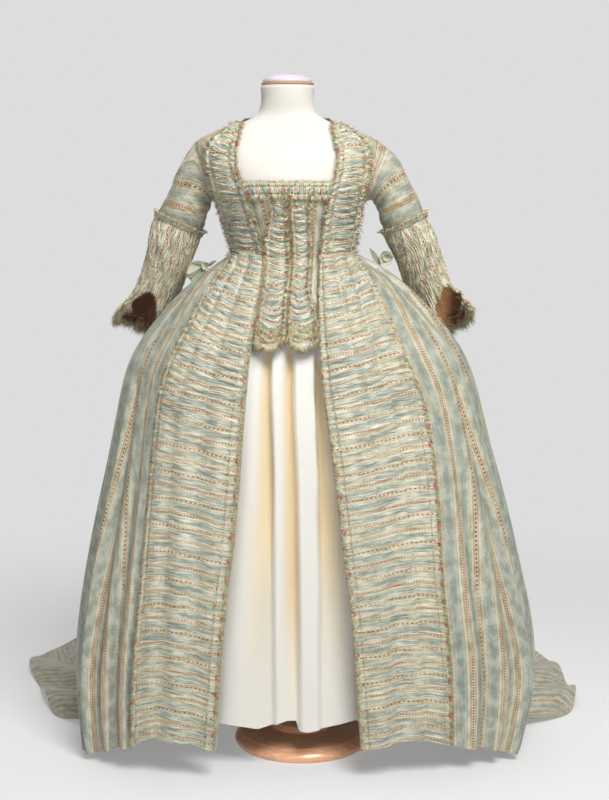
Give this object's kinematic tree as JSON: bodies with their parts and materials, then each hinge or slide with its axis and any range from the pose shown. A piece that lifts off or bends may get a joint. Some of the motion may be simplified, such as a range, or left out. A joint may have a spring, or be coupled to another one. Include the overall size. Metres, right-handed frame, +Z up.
{
  "type": "robe a la francaise on a dress form",
  "caption": "Open gown with fitted bodice, stomacher, cuffed sleeves, trimmed skirt and a falling pleated back with a train, over a petticoat, on a limbless dress form with a round foot.",
  "frame": {"origin": "centre of the foot's underside, on the floor", "axes": "+Z up, -Y the gown's front, +X towards the viewer's right when the front is seen"},
  "size_m": [1.3876, 1.3182, 1.487],
  "materials": {
    "silk": "striped silk, faded, with a soft sheen",
    "petticoat": "plain ivory silk",
    "ribbon": "pale green silk ribbon",
    "form": "white cotton cover, matte",
    "cap": "pale pink, softly glossy",
    "wood": "polished brown"
  },
  "bodies": {
    "root": {"bodice_front_left": "silk", "bodice_front_right": "silk", "bodice_side_back_left": "silk", "bodice_side_back_right": "silk", "bow_left": "ribbon", "bow_right": "ribbon", "cuff_back_left": "silk", "cuff_back_right": "silk", "cuff_fringe_left": "silk", "cuff_fringe_right": "silk", "cuff_front_left": "silk", "cuff_front_right": "silk", "cuff_heading_left": "silk", "cuff_heading_right": "silk", "form_collar": "wood", "form_foot": "wood", "form_neck_cap": "cap", "form_neck_ring": "wood", "form_post": "wood", "form_torso": "form", "neck_strip_back": "silk", "petticoat": "petticoat", "robing_left": "silk", "robing_right": "silk", "sack_back": "silk", "skirt_front_left": "silk", "skirt_front_right": "silk", "skirt_side_left": "silk", "skirt_side_right": "silk", "skirt_trim_left": "silk", "skirt_trim_right": "silk", "sleeve_left": "silk", "sleeve_right": "silk", "stomacher_fringe_left": "silk", "stomacher_fringe_right": "silk", "stomacher_left": "silk", "stomacher_neck_band": "silk", "stomacher_right": "silk"}
  },
  "joints": []
}
